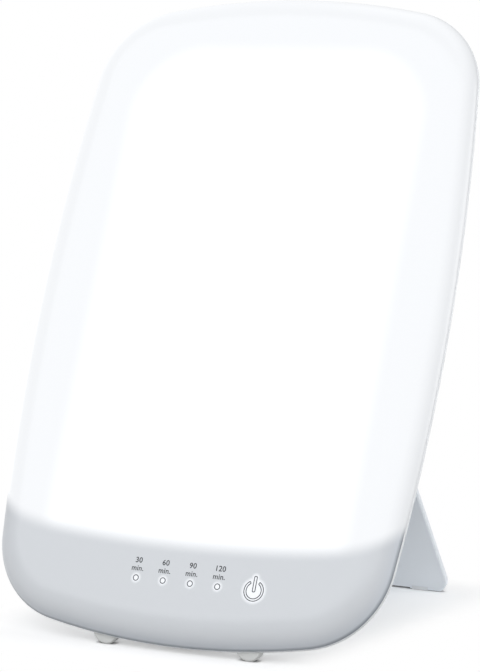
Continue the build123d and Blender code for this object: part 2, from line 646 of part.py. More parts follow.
def board_screws():
    """Screws that hold both boards to their posts."""
    boards = ((CONTROL_BOARD, CONTROL_FRONT, CONTROL_SCREW), (DRIVER_BOARD, DRIVER_FRONT, DRIVER_SCREW))
    return [screw(place, front, 1, BOARD_SCREW_RADIUS, SMALL_HEAD_RADIUS, SMALL_HEAD_HEIGHT, length)
            for edges, front, length in boards for place in board_screw_places(edges)]


def hinge_pin(side):
    """Steel pin through the ear and into the barrel."""
    return rod(*sorted((side * PIN_INNER, side * PIN_OUTER)), HINGE_UP, -HINGE_DEPTH, PIN_RADIUS)


def add_panel(name, shape):
    """Stands a piece drawn on the lying panel up with it, under its node name."""
    group = shape if isinstance(shape, list) else [shape]
    pieces[name] = [PANEL_AT_TABLE * solid for each in group for solid in each.solids()]


def add_table(name, shape):
    """Keeps a piece that is already drawn at the table."""
    pieces[name] = list(shape.solids())


def build():
    """Makes every piece of the lamp."""
    add_panel("front_cover", front_cover())
    add_panel("rear_housing", rear_housing())
    add_panel("diffuser_sheet", stack_sheet(GUIDE_FRONT, DIFFUSER_FRONT))
    add_panel("light_guide", stack_sheet(GUIDE_BACK, GUIDE_FRONT))
    add_panel("reflector_sheet", stack_sheet(PLATE_FRONT, GUIDE_BACK))
    add_panel("back_plate", back_plate())
    add_panel("mid_frame", mid_frame())
    for side, word in ((-1, "left"), (1, "right")):
        add_panel("led_bar_" + word, led_bar(side))
        add_panel("bar_leds_" + word, bar_leds(side))
        add_panel("hinge_pin_" + word, hinge_pin(side))
        add_table("foot_" + word, foot(side * FOOT_X))
        add_table("stand_pad_" + word, stand_pad(side))
    add_table("stand", stand())
    add_panel("control_board", board(CONTROL_BOARD, CONTROL_BOARD_BACK))
    add_panel("indicator_leds", indicator_leds())
    add_panel("indicator_shroud", indicator_shroud())
    add_panel("touch_electrode", touch_electrode())
    add_panel("touch_chip", block(*TOUCH_CHIP, CONTROL_BOARD_BACK - TOUCH_CHIP_HEIGHT, CONTROL_BOARD_BACK))
    add_panel("driver_board", board(DRIVER_BOARD, DRIVER_BOARD_BACK))
    add_panel("driver_chip", block(*DRIVER_CHIP, DRIVER_FRONT, DRIVER_FRONT + DRIVER_CHIP_HEIGHT))
    add_panel("driver_inductor", driver_inductor())
    add_panel("driver_capacitors", driver_capacitors())
    add_panel("dc_jack", dc_jack())
    add_panel("jack_lead", jack_lead())
    add_panel("bar_leads", bar_leads())
    add_panel("ribbon_cable", ribbon_cable())
    add_panel("housing_screws", housing_screws())
    add_panel("plate_screws", plate_screws())
    add_panel("board_screws", board_screws())


def write():
    """Moves the origin under the middle of the lamp and writes one file per piece."""
    os.makedirs("parts", exist_ok=True)
    box = Compound([solid for group in pieces.values() for solid in group]).bounding_box()
    middle = (box.min.Y + box.max.Y) / 2
    for name, group in pieces.items():
        moved = [Pos(0, -middle, 0) * solid for solid in group]
        export_step(moved[0] if len(moved) == 1 else Compound(moved), "parts/" + name + ".step")
    print("origin", round(middle, 3), "mm behind the lowest point of the outline")


build()
write()
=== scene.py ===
import json
from math import acos, atan2, cos, hypot, pi, radians, sin, tan

import bmesh
import bpy
from mathutils import Matrix, Vector


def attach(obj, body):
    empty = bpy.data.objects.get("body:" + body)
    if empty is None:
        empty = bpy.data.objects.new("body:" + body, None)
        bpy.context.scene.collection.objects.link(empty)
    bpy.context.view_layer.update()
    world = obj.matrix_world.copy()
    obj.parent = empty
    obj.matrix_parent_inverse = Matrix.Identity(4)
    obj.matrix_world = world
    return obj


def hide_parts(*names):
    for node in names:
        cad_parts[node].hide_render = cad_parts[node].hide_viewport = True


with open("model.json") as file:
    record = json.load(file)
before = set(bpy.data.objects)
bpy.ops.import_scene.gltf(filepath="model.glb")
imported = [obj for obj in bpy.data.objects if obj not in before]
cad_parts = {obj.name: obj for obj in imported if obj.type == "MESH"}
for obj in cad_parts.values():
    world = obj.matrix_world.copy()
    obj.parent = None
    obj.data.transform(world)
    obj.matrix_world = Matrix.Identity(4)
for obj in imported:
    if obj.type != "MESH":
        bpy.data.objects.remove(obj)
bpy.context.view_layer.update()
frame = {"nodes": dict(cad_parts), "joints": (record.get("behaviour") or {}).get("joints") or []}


# ---- the panel, in metres and degrees ----
MM = 0.001
LEAN = 25.4                   # how far the panel leans back
FLOOR_GAP = 4.0 * MM          # under its lower edge
PANEL_WIDTH = 280.0 * MM
PANEL_HEIGHT = 423.0 * MM
MID_UP = PANEL_HEIGHT / 2
SIDE_BOW = 15.0 * MM          # how far the sides and the ends bow outwards
END_BOW = 22.0 * MM
CORNER_RADIUS = 56.0 * MM

# the hinge lies HINGE_UP up the panel and HINGE_DEPTH behind the parting plane, which places the panel
HINGE_UP = 264.0 * MM
HINGE_DEPTH = 17.4 * MM
HINGE = Vector(frame["joints"][0]["pos_m"])
ORIGIN_Y = HINGE_UP * sin(radians(LEAN)) + HINGE_DEPTH * cos(radians(LEAN)) - HINGE.y

# panel coordinates, X right, Y up the panel and Z towards the viewer, to the frame
LEAN_BACK = Matrix.Rotation(radians(90 - LEAN), 4, "X")
PANEL_TO_FRAME = Matrix.Translation((0, -ORIGIN_Y, FLOOR_GAP)) @ LEAN_BACK

# the cover's section
COVER_HEIGHT = 12.5 * MM
COVER_DRAFT = 30.0
COVER_EDGE_RADIUS = 20.0 * MM
COVER_WALL = 2.4 * MM
COVER_INNER_CHAMFER = 7.0 * MM
LIP_INSET = 1.5 * MM
LIP_WALL = 1.1 * MM
LIP_DEPTH = 1.6 * MM
PARTING_GROOVE = 0.1 * MM     # fine gap that shows between the cover and the housing
OUTER_FOOT = 0.5 * MM         # upright foot of the flank, outside and inside
INNER_FOOT = 0.8 * MM
FACE_MARGIN = 0.4 * MM        # flat margin that keeps the round's shading off the face

# the printing: timer rings in a row and the touch key beside them
RING_UP = 37.2 * MM
RING_PITCH = 18.2 * MM
RING_RADIUS = 1.95 * MM
KEY_X = 51.2 * MM
KEY_UP = 37.2 * MM
KEY_OUTER = 6.5 * MM
KEY_INNER = 4.6 * MM
KEY_GAP = 27.0                # half the opening of the key's ring, in degrees
KEY_RING_CORNER = 0.9 * MM
KEY_BAR_WIDTH = 2.2 * MM
KEY_BAR_LENGTH = 9.9 * MM
KEY_BAR_RISE = 4.0 * MM       # its middle, over the middle of the ring
KEY_BAR_CORNER = 0.85 * MM
INK_LINE = 0.52 * MM
INK_HEIGHT = 0.05 * MM
INK_SPREAD = 0.06 * MM        # how much the ink fattens the letters
NUMBER_SIZE = 4.7 * MM
NUMBER_UP = 46.6 * MM
UNIT_SIZE = 4.6 * MM
UNIT_UP = 41.7 * MM


# ---- making meshes ----
WELD = 1e-7
MIRROR_WELD = 1e-6


def new_piece(name, mesh, material, body):
    """A finished piece: its object stays at the origin and its place is in its mesh."""
    piece = bpy.data.objects.new(name, mesh)
    bpy.context.scene.collection.objects.link(piece)
    mesh.materials.clear()
    mesh.materials.append(material)
    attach(piece, body)
    return piece


def mesh_from(bm, name, place=None, smooth=True):
    """Closes a bmesh: faces outward, put in place, and made a mesh."""
    bmesh.ops.remove_doubles(bm, verts=bm.verts, dist=WELD)
    bmesh.ops.recalc_face_normals(bm, faces=bm.faces)
    if place is not None:
        bmesh.ops.transform(bm, matrix=place, verts=bm.verts)
    for face in bm.faces:
        face.smooth = smooth
    mesh = bpy.data.meshes.new(name)
    bm.to_mesh(mesh)
    bm.free()
    return mesh


# ---- making materials ----
def linear(code):
    """An sRGB hex colour as linear RGBA."""
    parts = [int(code[i:i + 2], 16) / 255 for i in (1, 3, 5)]
    return [p / 12.92 if p <= 0.04045 else ((p + 0.055) / 1.055) ** 2.4 for p in parts] + [1.0]


def add(tree, kind, inputs=None, **settings):
    """Adds one shader node. Inputs are values, or the sockets or nodes to link."""
    node = tree.nodes.new("ShaderNode" + kind)
    for key, value in settings.items():
        setattr(node, key, value)
    for key, value in (inputs or {}).items():
        if isinstance(value, bpy.types.Node):
            value = value.outputs[0]
        if isinstance(value, bpy.types.NodeSocket):
            tree.links.new(value, node.inputs[key])
        else:
            node.inputs[key].default_value = value
    return node


def new_material(name):
    """An empty material and its output node."""
    material = bpy.data.materials.new(name)
    material.use_nodes = True
    material.node_tree.nodes.clear()
    return material, add(material.node_tree, "OutputMaterial")


CLOUD_SIZE = 40.0 * MM        # size of the broad shift between two close colours
GLOSS_SPREAD = 0.05           # how far the roughness strays with the grain
GRAIN_DEPTH = 0.2             # height of the grain, as a part of its size


def surface(name, low, high, roughness, grain_mm, bump=0.1, **shader):
    """A surface of two close colours in a broad cloud, with a fine grain in its gloss and height."""
    # the grain is drawn several times as coarse as the real one, so that it shows
    material, output = new_material(name)
    tree = material.node_tree
    where = add(tree, "TexCoord").outputs["Object"]
    cloud = add(tree, "TexNoise", {"Vector": where, "Scale": 1 / CLOUD_SIZE, "Detail": 3.0}).outputs["Fac"]
    colour = add(tree, "Mix", {0: cloud, 6: linear(low), 7: linear(high)}, data_type="RGBA").outputs[2]
    grain_size = grain_mm * MM
    grain = add(tree, "TexNoise", {"Vector": where, "Scale": 1 / grain_size, "Detail": 2.0}).outputs["Fac"]
    gloss = add(tree, "MapRange", {0: grain, 3: roughness - GLOSS_SPREAD, 4: roughness + GLOSS_SPREAD})
    height = add(tree, "Bump", {"Height": grain, "Strength": bump, "Distance": GRAIN_DEPTH * grain_size})
    inputs = {"Base Color": colour, "Roughness": gloss, "Normal": height}
    inputs.update({key.replace("_", " "): value for key, value in shader.items()})
    shade = add(tree, "BsdfPrincipled", inputs)
    tree.links.new(shade.outputs[0], output.inputs["Surface"])
    return material


LIT_EDGE_UP = 59.8 * MM       # lower edge of the lit field on the centre line
LIT_BLUR = 6.0 * MM           # half the width of its blur
# it rises in a shallow bow and in a sharp turn at the rim: how far out, the curve's power and its rise there
LIT_EDGE_BENDS = ((100.0 * MM, 2.0, 5.0 * MM), (PANEL_WIDTH / 2, 11.0, 24.0 * MM))
# the brightest part, over the open window of the guide's frame, and how it fades across its edge
WINDOW_MIDDLE = 4.0 * MM
WINDOW_HALF_WIDTH = 101.0 * MM
WINDOW_TOP = 384.0 * MM
WINDOW_CORNER = 48.0 * MM
WINDOW_FADE_INSIDE = 9.0 * MM
WINDOW_FADE_OUTSIDE = 6.0 * MM
GLOW_WINDOW = 0.86
GLOW_BORDER = 0.755
GLOW_KEYS = 0.30              # of the halos round the rings and the key
RIM_DIMMING = 0.80            # what is left of the glow down the edge of the cover
PARTING_DIMMING = 0.80        # and of that at the parting line
BAR_HALO_TOP = 7.8 * MM       # how far the bar's halo is straight, up from the middle of the key


def opal_cover_material():
    """Opal acrylic, lit by the guide above the control zone and by LEDs behind the rings and the key."""
    # injection moulded and polished: milky, evenly lit from inside, with a soft sheen
    material, output = new_material("opal_acrylic_lit")
    tree = material.node_tree
    back = PANEL_TO_FRAME.inverted()
    where = add(tree, "TexCoord").outputs["Object"]
    placed = add(tree, "Mapping", {
        "Vector": where, "Location": back.translation, "Rotation": back.to_euler()})
    across, up, height = add(tree, "SeparateXYZ", {0: placed}).outputs
    flat = add(tree, "VectorMath", {0: placed, 1: (1, 1, 0)}, operation="MULTIPLY")

    side = add(tree, "Math", {0: across}, operation="ABSOLUTE")
    lower_edge = LIT_EDGE_UP
    for reach, power, rise in LIT_EDGE_BENDS:
        bend = add(tree, "Math", {0: side, 1: reach}, operation="DIVIDE")
        bend = add(tree, "Math", {0: bend, 1: power}, operation="POWER")
        lower_edge = add(tree, "Math", {0: bend, 1: rise, 2: lower_edge}, operation="MULTIPLY_ADD")
    above = add(tree, "Math", {0: up, 1: lower_edge}, operation="SUBTRACT")

    # how far a point is from the middle of the window's round corner, from the nearest timer ring, with the
    # row folded onto one, from the middle of the key and from the bar that stands out of it
    routes = {
        "window": (("SUBTRACT", (WINDOW_MIDDLE, 0, 0)), ("ABSOLUTE", (0, 0, 0)),
                   ("SUBTRACT", (WINDOW_HALF_WIDTH - WINDOW_CORNER, WINDOW_TOP - WINDOW_CORNER, 0)),
                   ("MAXIMUM", (0, 0, 0))),
        "ring": (("ABSOLUTE", (0, 0, 0)), ("SUBTRACT", (RING_PITCH, RING_UP, 0)),
                 ("ABSOLUTE", (0, 0, 0)), ("SUBTRACT", (RING_PITCH / 2, 0, 0))),
        "key": (("SUBTRACT", (KEY_X, KEY_UP, 0)),),
        "bar": (("SUBTRACT", (KEY_X, KEY_UP + BAR_HALO_TOP, 0)), ("MAXIMUM", (-PANEL_WIDTH, 0, 0))),
    }
    away = {}
    for name, route in routes.items():
        place = flat
        for operation, other in route:
            place = add(tree, "VectorMath", {0: place, 1: other}, operation=operation)
        away[name] = add(tree, "VectorMath", {0: place}, operation="LENGTH").outputs["Value"]

    # each soft step: what it follows, where it starts and ends, and what it gives there
    steps = {
        "lit": (above, -LIT_BLUR, LIT_BLUR, 0.0, 1.0),
        "window": (away["window"], WINDOW_CORNER - WINDOW_FADE_INSIDE, WINDOW_CORNER + WINDOW_FADE_OUTSIDE,
                   GLOW_WINDOW, GLOW_BORDER),
        "rim": (height, 0.5 * MM, 9.0 * MM, RIM_DIMMING, 1.0),
        "parting": (height, 0.2 * MM, 2.5 * MM, PARTING_DIMMING, 1.0),
        "ring_halo": (away["ring"], 1.4 * MM, 4.2 * MM, 1.0, 0.0),
        "key_halo": (away["key"], KEY_OUTER - 0.3 * MM, KEY_OUTER + 2.6 * MM, 1.0, 0.0),
        "bar_halo": (away["bar"], 1.0 * MM, 3.6 * MM, 1.0, 0.0),
        "bar_root": (up, KEY_UP, KEY_UP + 1.0 * MM, 0.0, 1.0),
        # the next two steps set painted shade: a darker colour down the flank and at its foot
        "flank": (height, 0.5 * MM, 10.0 * MM, 0.0, 1.0),
        "foot": (height, 0.3 * MM, 3.0 * MM, 0.0, 1.0),
    }
    soft = {name: add(tree, "MapRange", dict(enumerate(step)), interpolation_type="SMOOTHSTEP")
            for name, step in steps.items()}

    field = soft["lit"]
    for name in ("window", "rim", "parting"):
        field = add(tree, "Math", {0: field, 1: soft[name]}, operation="MULTIPLY")
    halo = add(tree, "Math", {0: soft["bar_halo"], 1: soft["bar_root"]}, operation="MULTIPLY")
    for name in ("ring_halo", "key_halo"):
        halo = add(tree, "Math", {0: halo, 1: soft[name]}, operation="MAXIMUM")
    halo = add(tree, "Math", {0: halo, 1: GLOW_KEYS}, operation="MULTIPLY")
    strength = add(tree, "Math", {0: field, 1: halo}, operation="MAXIMUM")

    # painted shade: unlit, the face is palest, the flank a shade darker and the foot next to the parting
    # line darkest; where it is lit, the same acrylic takes a darker body colour, so that reflection and glow
    # together stay short of white
    colour = linear("#DDE0E4")
    for name, other in (("flank", "#D3D8DF"), ("foot", "#8C939C")):
        colour = add(tree, "Mix", {0: soft[name], 6: linear(other), 7: colour}, data_type="RGBA").outputs[2]
    colour = add(tree, "Mix", {0: soft["lit"], 6: colour, 7: linear("#75787B")}, data_type="RGBA").outputs[2]
    shade = add(tree, "BsdfPrincipled", {
        "Base Color": colour, "Roughness": 0.28, "IOR": 1.49,
        "Emission Color": linear("#FCFDFF"), "Emission Strength": strength})
    tree.links.new(shade.outputs[0], output.inputs["Surface"])
    return material


opal_acrylic = opal_cover_material()

# white ABS with a fine spark-eroded texture: soft, even highlights
housing_abs = surface("housing_abs_fine_texture", "#EDF0F2", "#F1F3F5", 0.42, 0.9, 0.12, IOR=1.53)
# the stand is the same resin, rougher to the touch; its colour is a shade greyer as painted shade, for the
# shadow of the panel that it stands in
stand_abs = surface("stand_abs_matt", "#DDE2E8", "#E4E9EE", 0.5, 0.8, 0.1, IOR=1.53)
# soft TPE: dull and a little darker than the shells
foot_tpe = surface("foot_tpe", "#DEDFDD", "#E6E7E5", 0.55, 0.6, 0.2, IOR=1.5)
pad_tpe = surface("pad_tpe", "#D6D9DC", "#DEE1E4", 0.6, 0.6, 0.2, IOR=1.5)
# pad-printed ink: a thin matt film
ink = surface("print_ink_grey", "#2E3237", "#373B40", 0.6, 0.3, 0.05, IOR=1.5)

# inside the closed housing
INSIDE = {
    # cast acrylic, edge-lit: clear and glossy
    "light_guide": surface("guide_acrylic", "#EEF4F6", "#F4F8FA", 0.08, 2.0, 0.02, IOR=1.49,
                           Transmission_Weight=0.8),
    # polycarbonate film with a beaded coat: flat white
    "diffuser_sheet": surface("diffuser_film", "#F2F3F4", "#F8F8F9", 0.7, 0.5, 0.1, IOR=1.58),
    # foamed polyester film: bright, dead matt
    "reflector_sheet": surface("reflector_film", "#F6F6F5", "#FBFBFA", 0.8, 0.8, 0.1, IOR=1.57),
    # rolled aluminium sheet as it comes from the mill
    "back_plate": surface("aluminium_mill_finish", "#C4C6C9", "#D2D4D6", 0.4, 1.5, 0.1, Metallic=1.0),
    # white polycarbonate, moulded: an even, soft sheen
    "mid_frame": surface("frame_polycarbonate", "#EDEEEE", "#F4F4F4", 0.45, 0.9, 0.1, IOR=1.58),
    "indicator_shroud": surface("shroud_polycarbonate", "#E8E9E9", "#F0F0F0", 0.5, 0.9, 0.1, IOR=1.58),
    # glass-fibre board under white solder mask: smooth and slightly glossy
    "led_bar_left": surface("bar_solder_mask_white", "#E9EBE8", "#F1F2F0", 0.35, 0.7, 0.1, IOR=1.5),
    # green solder mask: the weave shows through as a faint grain
    "control_board": surface("board_solder_mask_green", "#1C5A38", "#236B44", 0.35, 0.8, 0.2, IOR=1.5),
    # silicone over phosphor in a white cup: pale yellow and smooth
    "indicator_leds": surface("led_phosphor", "#EFE7B0", "#F6F0C4", 0.3, 0.4, 0.05, IOR=1.45),
    # carbon-loaded foam: black, open cells
    "touch_electrode": surface("foam_conductive", "#2A2A2C", "#38383A", 0.9, 0.5, 0.6),
    # moulded epoxy packages: near black and dull
    "touch_chip": surface("chip_epoxy", "#1B1B1D", "#242427", 0.55, 0.3, 0.2, IOR=1.55),
    # ferrite with a dull lacquer
    "driver_inductor": surface("inductor_ferrite", "#33353A", "#3E4046", 0.6, 0.4, 0.3, IOR=1.5),
    # drawn aluminium can: smooth grey metal
    "driver_capacitors": surface("capacitor_can", "#B4B7BB", "#C1C4C8", 0.35, 1.0, 0.05, Metallic=1.0),
    # glass-filled nylon: black with a slight bloom
    "dc_jack": surface("jack_nylon_black", "#161719", "#202123", 0.45, 0.5, 0.2, IOR=1.53),
    # PVC insulation: red, slightly waxy
    "jack_lead": surface("lead_pvc_red", "#B3201C", "#C02A25", 0.4, 0.8, 0.1, IOR=1.54),
    # laminated polyester over flat copper: pale grey with a film's gloss
    "ribbon_cable": surface("ribbon_polyester", "#C9CCD2", "#D8DADF", 0.35, 1.0, 0.1, IOR=1.57),
    # zinc plate: bright with a faint cloud
    "housing_screws": surface("steel_zinc_plated", "#B4B7BC", "#C6C9CC", 0.32, 0.6, 0.1, Metallic=1.0),
    # ground steel: bright, with sharper highlights
    "hinge_pin_left": surface("steel_ground", "#BEC0C3", "#CDCFD1", 0.22, 0.5, 0.1, Metallic=1.0),
}
SAME_FINISH = {
    "led_bar_right": "led_bar_left", "driver_board": "control_board", "bar_leds_left": "indicator_leds",
    "bar_leds_right": "indicator_leds", "driver_chip": "touch_chip", "plate_screws": "housing_screws",
    "board_screws": "housing_screws", "hinge_pin_right": "hinge_pin_left", "bar_leads": "jack_lead",
}
OUTSIDE = {
    "rear_housing": housing_abs, "stand": stand_abs, "foot_left": foot_tpe, "foot_right": foot_tpe,
    "stand_pad_left": pad_tpe, "stand_pad_right": pad_tpe,
}
for node, finish in {**OUTSIDE, **INSIDE}.items():
    frame["nodes"][node].material_slots[0].material = finish
for node, other in SAME_FINISH.items():
    frame["nodes"][node].material_slots[0].material = INSIDE[other]


# ---- the front cover ----
ARC_STEPS = 28                # facets of each arc of the outline
EDGE_STEPS = 14               # and of the round between flank and face


def outline_face(bm, inset):
    """The face inside the panel's outline, drawn in by inset: a quarter of three arcs, mirrored twice."""
    side_arc = (MID_UP**2 + SIDE_BOW**2) / (2 * SIDE_BOW)
    end_arc = ((PANEL_WIDTH / 2) ** 2 + END_BOW**2) / (2 * END_BOW)
    side_centre = PANEL_WIDTH / 2 - side_arc
    end_centre = MID_UP - end_arc
    reach_side = side_arc - CORNER_RADIUS
    reach_end = end_arc - CORNER_RADIUS
    span = hypot(side_centre, end_centre)
    opening = acos((reach_side**2 + span**2 - reach_end**2) / (2 * reach_side * span))
    side_turn = opening + atan2(end_centre, -side_centre)
    corner = Vector((side_centre + reach_side * cos(side_turn), reach_side * sin(side_turn), 0))
    end_turn = atan2(corner.y - end_centre, corner.x)

    tip = bm.verts.new((PANEL_WIDTH / 2 - inset, 0, 0))
    arcs = (((side_centre, 0, 0), side_turn), (corner, end_turn - side_turn),
            ((0, end_centre, 0), pi / 2 - end_turn))
    for centre, turn in arcs:
        spun = bmesh.ops.spin(bm, geom=[tip], cent=centre, axis=(0, 0, 1), dvec=(0, 0, 0), angle=turn,
                              steps=ARC_STEPS, use_duplicate=False)
        tip = [v for v in spun["geom_last"] if isinstance(v, bmesh.types.BMVert)][0]
    for axis in ("X", "Y"):
        bmesh.ops.mirror(bm, geom=bm.verts[:] + bm.edges[:], matrix=Matrix.Identity(4), axis=axis,
                         merge_dist=MIRROR_WELD)
        bmesh.ops.remove_doubles(bm, verts=bm.verts, dist=MIRROR_WELD)
    face = bmesh.ops.contextual_create(bm, geom=bm.edges[:])["faces"][0]
    if face.normal.z < 0:
        bmesh.ops.reverse_faces(bm, faces=[face])
    bmesh.ops.translate(bm, vec=(0, MID_UP, 0), verts=bm.verts)
    return face


def outer_places():
    """Inset and height of the cover's outside: lip, fine groove, drafted flank, round and flat face."""
    draft = radians(COVER_DRAFT)
    turn = pi / 2 - draft
    flank = COVER_HEIGHT - COVER_EDGE_RADIUS * (1 - cos(turn))
    foot = OUTER_FOOT * tan(draft)
    places = [(LIP_INSET, -LIP_DEPTH), (LIP_INSET, PARTING_GROOVE), (foot, PARTING_GROOVE),
              (foot, OUTER_FOOT), (flank * tan(draft), flank)]
    for step in range(1, EDGE_STEPS + 1):
        lean = turn * (1 - step / EDGE_STEPS)
        places.append((flank * tan(draft) + COVER_EDGE_RADIUS * (sin(turn) - sin(lean)),
                       flank + COVER_EDGE_RADIUS * (cos(lean) - cos(turn))))
    places.append((places[-1][0] + FACE_MARGIN, places[-1][1]))
    return places


def inner_places():
    """Inset and height of the cover's inside: lip, flank and a chamfer up to the back of its face."""
    draft = radians(COVER_DRAFT)
    lip = LIP_INSET + LIP_WALL
    wall = COVER_WALL / cos(draft)
    top = COVER_HEIGHT - COVER_WALL
    chamfer = top - COVER_INNER_CHAMFER * cos(draft)
    return [(lip, -LIP_DEPTH), (lip, INNER_FOOT), (wall + INNER_FOOT * tan(draft), INNER_FOOT),
            (wall + chamfer * tan(draft), chamfer), (wall + top * tan(draft) + COVER_INNER_CHAMFER, top)]


def skin(places):
    """The outline at the first of the places, stepped through the rest to a flat face."""
    bm = bmesh.new()
    face = outline_face(bm, places[0][0])
    bmesh.ops.translate(bm, vec=(0, 0, places[0][1]), verts=bm.verts)
    for (inset, height), (next_inset, next_height) in zip(places, places[1:]):
        bmesh.ops.inset_individual(bm, faces=[face], thickness=next_inset - inset,
                                   depth=next_height - height, use_even_offset=True)
    return bm


def front_cover():
    """The opal cover: an outer and an inner skin, joined round the foot of its lip."""
    bm = skin(outer_places())
    inside = skin(inner_places())
    inner_mesh = bpy.data.meshes.new("inner_skin")
    inside.to_mesh(inner_mesh)
    inside.free()
    bm.from_mesh(inner_mesh)
    bpy.data.meshes.remove(inner_mesh)
    bmesh.ops.bridge_loops(bm, edges=[edge for edge in bm.edges if edge.is_boundary])
    mesh = mesh_from(bm, "front_cover_opal", PANEL_TO_FRAME)
    cover = new_piece("front_cover_opal", mesh, opal_acrylic, "lamp")
    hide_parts("front_cover")


front_cover()


# ---- printing on the cover ----
FACE = PANEL_TO_FRAME @ Matrix.Translation((0, 0, COVER_HEIGHT))
RING_STEPS = 40
KEY_RING_STEPS = 56
CORNER_STEPS = 8
SAME_ANGLE = 1e-4             # in radians


def print_face(bm, name, x, up):
    """Turns the faces of a flat bmesh into printed outlines and lays them on the cover."""
    rim = bmesh.ops.inset_region(bm, faces=bm.faces[:], thickness=INK_LINE, use_even_offset=True,
                                 use_boundary=True)
    inner = [face for face in bm.faces if face not in rim["faces"]]
    bmesh.ops.delete(bm, geom=inner, context="FACES")
    bmesh.ops.solidify(bm, geom=bm.faces[:], thickness=INK_HEIGHT)
    lowest = min(v.co.z for v in bm.verts)
    bmesh.ops.translate(bm, vec=(0, 0, -lowest), verts=bm.verts)
    mesh = mesh_from(bm, name, FACE @ Matrix.Translation((x, up, 0)), smooth=False)
    new_piece(name, mesh, ink, "lamp")


def round_corners(bm, verts, radius):
    """Rounds corners of a flat face."""
    bmesh.ops.bevel(bm, geom=verts, offset=radius, offset_type="OFFSET", segments=CORNER_STEPS,
                    profile=0.5, affect="VERTICES", material=-1)


def timer_ring(name, x):
    """One ring of the timer row."""
    bm = bmesh.new()
    bmesh.ops.create_circle(bm, cap_ends=True, segments=RING_STEPS, radius=RING_RADIUS)
    print_face(bm, name, x, RING_UP)


def key_ring():
    """The open ring of the power symbol."""
    bm = bmesh.new()
    gap = radians(KEY_GAP)
    ends = [bm.verts.new((radius * sin(gap), radius * cos(gap), 0)) for radius in (KEY_INNER, KEY_OUTER)]
    edge = bm.edges.new(ends)
    bmesh.ops.spin(bm, geom=[*ends, edge], cent=(0, 0, 0), axis=(0, 0, -1), dvec=(0, 0, 0),
                   angle=2 * pi - 2 * gap, steps=KEY_RING_STEPS, use_duplicate=False)
    bmesh.ops.dissolve_faces(bm, faces=bm.faces[:])
    ends = [v for v in bm.verts if v.co.y > 0 and abs(abs(atan2(v.co.x, v.co.y)) - gap) < SAME_ANGLE]
    round_corners(bm, ends, KEY_RING_CORNER)
    print_face(bm, "key_ring", KEY_X, KEY_UP)


def key_bar():
    """The bar of the power symbol."""
    bm = bmesh.new()
    bmesh.ops.create_grid(bm, x_segments=1, y_segments=1, size=0.5)
    bmesh.ops.scale(bm, vec=(KEY_BAR_WIDTH, KEY_BAR_LENGTH, 1), verts=bm.verts)
    bmesh.ops.translate(bm, vec=(0, KEY_BAR_RISE, 0), verts=bm.verts)
    round_corners(bm, bm.verts[:], KEY_BAR_CORNER)
    print_face(bm, "key_bar", KEY_X, KEY_UP)


def legend(name, words, size, x, up):
    """A line of plain lettering, made a mesh before it is placed."""
    text = bpy.data.curves.new("legend", "FONT")
    text.body = words
    text.size = size
    text.align_x = "CENTER"
    text.space_character = 1.05
    text.resolution_u = 4
    text.offset = INK_SPREAD
    text.extrude = INK_HEIGHT / 2
    lettering = bpy.data.objects.new("lettering", text)
    bpy.context.scene.collection.objects.link(lettering)
    bpy.context.view_layer.update()
    mesh = bpy.data.meshes.new_from_object(lettering)
    bpy.data.objects.remove(lettering)
    bpy.data.curves.remove(text)
    bm = bmesh.new()
    bm.from_mesh(mesh)
    bpy.data.meshes.remove(mesh)
    mesh = mesh_from(bm, name, FACE @ Matrix.Translation((x, up, INK_HEIGHT / 2)), smooth=False)
    new_piece(name, mesh, ink, "lamp")


MINUTES = ("30", "60", "90", "120")
for number, minutes in enumerate(MINUTES):
    ring_x = (number - (len(MINUTES) - 1) / 2) * RING_PITCH
    timer_ring(f"timer_ring_{number + 1}", ring_x)
    legend(f"legend_{minutes}_number", minutes, NUMBER_SIZE, ring_x, NUMBER_UP)
    legend(f"legend_{minutes}_unit", "min.", UNIT_SIZE, ring_x, UNIT_UP)
key_ring()
key_bar()

# ---- floor, light and camera ----
PAPER_HALF = 30.0             # half the side of the sheet that everything stands on
PAPER = 1.32                  # exposes the paper for the eye: white where nothing shades it
PAPER_BOUNCE_FRONT = 0.55     # what it sends back up to the lamp, in front of it
PAPER_BOUNCE_BACK = 0.90      # and behind it
PAPER_LIGHT_BACK = 0.24       # the sweep behind the lamp is lit from below as well
FRONT_Y = -80.0 * MM          # in front ends here
BACK_Y = 60.0 * MM            # and behind starts here
SHADOW_X = 85.0 * MM          # half the sides of the area that keeps its shadows
SHADOW_Y = 104.0 * MM
SHADOW_MIDDLE = -10.0 * MM    # where its middle lies across
SHADOW_SLANT = 0.22           # how much it leans to the right towards the back
SHADOW_REACH = 45.0 * MM      # shadows fade to white over this much round it
CONTACT_REACH = 3.0 * MM      # painted contact shadow: the paper is darkest where something stands this close over it
STRAY_FRONT = 0.36            # painted stray light that still reaches the paper under the front of the lamp
STRAY_BACK = 0.05             # and behind it


